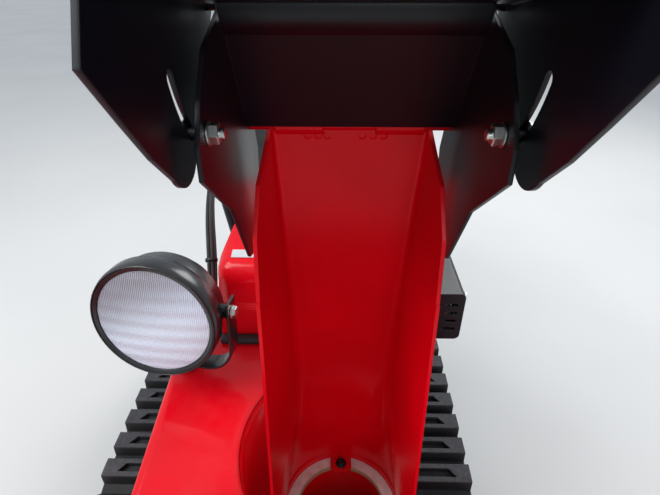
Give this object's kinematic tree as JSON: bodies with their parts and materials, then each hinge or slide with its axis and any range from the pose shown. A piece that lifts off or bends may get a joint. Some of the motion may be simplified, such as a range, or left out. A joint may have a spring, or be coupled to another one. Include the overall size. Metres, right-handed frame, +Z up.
{
  "type": "tracked snow blower",
  "caption": "Walk-behind two-stage snow blower on rubber tracks, with ribbon auger, impeller, turning chute, two-stage deflector and tipping nose.",
  "frame": {"origin": "on the ground, at the centre of the footprint's bounding box", "axes": "+Z up, -Y the way the machine works, +X the machine's left"},
  "size_m": [0.8406, 1.6, 1.0977],
  "materials": {
    "red_paint": "gloss",
    "red_chute": "gloss",
    "black_paint": "satin",
    "black_plastic": "matte",
    "red_plastic": "gloss",
    "track_rubber": "matte",
    "grip_rubber": "matte",
    "cast_iron": "rough",
    "steel": "satin",
    "aluminium": "cast",
    "wear_plastic": "matte",
    "lens_glass": "ribbed"
  },
  "bodies": {
    "tracks": {"track_left": "track_rubber", "track_right": "track_rubber", "track_frame_left": "black_paint", "track_frame_right": "black_paint", "idler_wheels": "cast_iron", "drive_sprockets": "cast_iron", "track_rollers": "cast_iron", "drive_axle": "steel", "track_cross_member": "black_paint"},
    "lift_barrel": {"lift_barrel": "black_paint"},
    "lift_rod": {"lift_rod": "steel"},
    "auger": {"auger": "red_paint"},
    "impeller": {"impeller": "red_paint"},
    "chute": {"chute": "red_chute", "chute_ring": "wear_plastic"},
    "deflector_middle": {"deflector_middle": "black_paint"},
    "deflector_tip": {"deflector_tip": "black_paint"},
    "machine": {"auger_housing": "red_paint", "scraper_blade": "steel", "skid_shoes": "black_paint", "auger_gear_case": "cast_iron", "impeller_housing": "red_paint", "main_frame": "black_paint", "transmission_case": "aluminium", "belt_case": "black_plastic", "front_cover": "red_plastic", "engine_block": "aluminium", "bonnet": "red_plastic", "engine_skirt": "black_plastic", "bonnet_seal": "grip_rubber", "recoil_starter": "black_plastic", "muffler": "steel", "muffler_guard": "black_paint", "rear_column": "black_plastic", "fuel_tank": "black_plastic", "console": "black_plastic", "control_levers": "black_plastic", "handlebar_left": "black_paint", "handlebar_right": "black_paint", "grips": "grip_rubber", "clutch_levers": "black_paint", "lamp_housing": "black_plastic", "lamp_lens": "lens_glass", "lamp_bracket": "black_paint", "control_cables": "grip_rubber"}
  },
  "joints": [
    {"name": "nose_lift", "type": "hinge", "parent": "tracks", "child": "machine", "pos_m": [0, 0.318, 0.143], "axis": [-1, 0, 0], "range_deg": [0, 10]},
    {"name": "lift_barrel_tilt", "type": "hinge", "parent": "tracks", "child": "lift_barrel", "pos_m": [0, 0.043, 0.12], "axis": [-1, 0, 0], "range_deg": [-0.5, 3.42]},
    {"name": "lift_rod_slide", "type": "slide", "parent": "lift_barrel", "child": "lift_rod", "axis": [0, 0.3439, 0.939], "range_m": [-0.001, 0.0442]},
    {"name": "auger_spin", "type": "hinge", "parent": "machine", "child": "auger", "pos_m": [0, -0.6, 0.205], "axis": [1, 0, 0], "continuous": true},
    {"name": "impeller_spin", "type": "hinge", "parent": "machine", "child": "impeller", "pos_m": [0, -0.299, 0.235], "axis": [0, 1, 0], "continuous": true},
    {"name": "chute_turn", "type": "hinge", "parent": "machine", "child": "chute", "pos_m": [0.1, -0.33, 0.465], "axis": [0, 0, 1], "range_deg": [-100, 100]},
    {"name": "deflector_tilt", "type": "hinge", "parent": "chute", "child": "deflector_middle", "pos_m": [0.1, -0.3255, 0.992], "axis": [1, 0, 0], "range_deg": [-8, 30]},
    {"name": "tip_tilt", "type": "hinge", "parent": "deflector_middle", "child": "deflector_tip", "pos_m": [0.1, -0.37699, 1.07702], "axis": [1, 0, 0], "range_deg": [0, 20]}
  ],
  "couplings": [
    {"joint": "lift_barrel_tilt", "follows": "nose_lift", "ratio": 0.29164},
    {"joint": "lift_rod_slide", "follows": "nose_lift", "m_per_rad": 0.24744},
    {"joint": "impeller_spin", "follows": "auger_spin", "ratio": 9}
  ]
}
